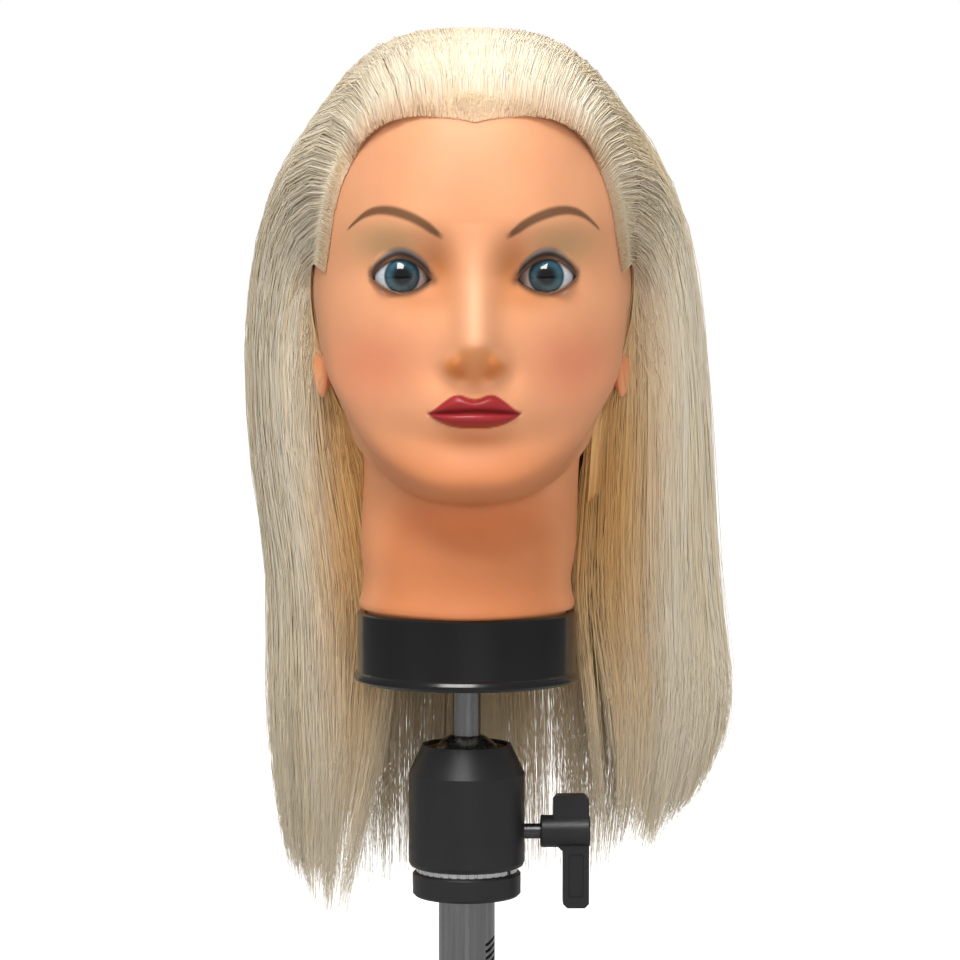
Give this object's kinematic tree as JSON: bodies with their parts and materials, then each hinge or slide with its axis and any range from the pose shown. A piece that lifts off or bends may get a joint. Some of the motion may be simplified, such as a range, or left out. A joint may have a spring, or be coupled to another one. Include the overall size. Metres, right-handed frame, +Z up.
{
  "type": "mannequin training head",
  "caption": "Training head with implanted long hair and a black neck collar, on a pin and a lockable ball head that pans on a racked steel column.",
  "frame": {"origin": "bottom of the column on its axis", "axes": "+Z up along the column, the face looks along -Y, the clamp knob is on +X"},
  "size_m": [0.2267, 0.2242, 0.52],
  "materials": {
    "skin_vinyl": "soft matt vinyl, painted",
    "foam": "rigid foam",
    "eye_gloss": "clear gloss",
    "black_gloss": "gloss black",
    "black_plastic": "satin black",
    "socket_plastic": "natural",
    "blonde_hair": "long silky fibre",
    "black_metal": "black anodised, satin",
    "steel": "satin steel",
    "bright_steel": "bright",
    "bronze": "turned",
    "screw_steel": "dark steel"
  },
  "bodies": {
    "column": {"column_tube": "steel", "column_end_cap": "black_plastic", "column_platform": "black_metal", "platform_set_screws": "screw_steel", "platform_stud": "steel", "stud_circlip": "screw_steel", "thrust_washer": "bright_steel"},
    "ball_head": {"ball_housing": "black_metal", "upper_seat": "bronze", "housing_floor": "black_metal", "floor_screws": "screw_steel", "screw_bush": "bronze"},
    "lower_cup": {"lower_cup": "bronze"},
    "cup_lifter": {"cup_lifter": "steel"},
    "clamp_wedge": {"clamp_wedge": "steel"},
    "knob": {"clamp_screw": "screw_steel", "clamp_knob": "black_plastic", "knob_insert": "bronze"},
    "ball_stud": {"ball": "steel", "support_pin": "steel"},
    "pin_sleeve": {"pin_sleeve": "socket_plastic"},
    "head": {"head_skin": "skin_vinyl", "foam_core": "foam", "left_eye": "eye_gloss", "right_eye": "eye_gloss", "neck_collar": "black_gloss", "neck_base_plate": "black_plastic", "base_plate_screws": "screw_steel", "pin_socket": "socket_plastic", "hair_crown": "blonde_hair", "hair_back": "blonde_hair", "hair_left": "blonde_hair", "hair_right": "blonde_hair"}
  },
  "joints": [
    {"name": "ball_head_pan", "type": "hinge", "parent": "column", "child": "ball_head", "pos_m": [0, 0, 0.1334], "axis": [0, 0, 1], "continuous": true},
    {"name": "wedge_slide", "type": "slide", "parent": "ball_head", "child": "clamp_wedge", "axis": [1, 0, 0], "range_m": [0, 0.00125]},
    {"name": "lifter_drop", "type": "slide", "parent": "ball_head", "child": "cup_lifter", "axis": [0, 0, 1], "range_m": [-0.00125, 0]},
    {"name": "knob_turn", "type": "hinge", "parent": "clamp_wedge", "child": "knob", "pos_m": [0.05, 0, 0.1495], "axis": [1, 0, 0], "range_deg": [0, 360]},
    {"name": "ball_swivel", "type": "hinge", "parent": "ball_head", "child": "lower_cup", "pos_m": [0, 0, 0.178], "axis": [0, 0, 1], "continuous": true},
    {"name": "ball_tilt", "type": "hinge", "parent": "lower_cup", "child": "ball_stud", "pos_m": [0, 0, 0.178], "axis": [1, 0, 0], "range_deg": [-35, 35], "deforming": ["hair_crown", "hair_back", "hair_left", "hair_right"]},
    {"name": "head_turn", "type": "hinge", "parent": "ball_stud", "child": "pin_sleeve", "pos_m": [0, 0, 0.285], "axis": [0, 0, 1], "continuous": true},
    {"name": "head_lift", "type": "slide", "parent": "pin_sleeve", "child": "head", "axis": [0, 0, 1], "range_m": [0, 0.06]}
  ],
  "couplings": [
    {"joint": "knob_turn", "follows": "wedge_slide", "rad_per_m": 5026},
    {"joint": "lifter_drop", "follows": "wedge_slide", "ratio": -1}
  ]
}
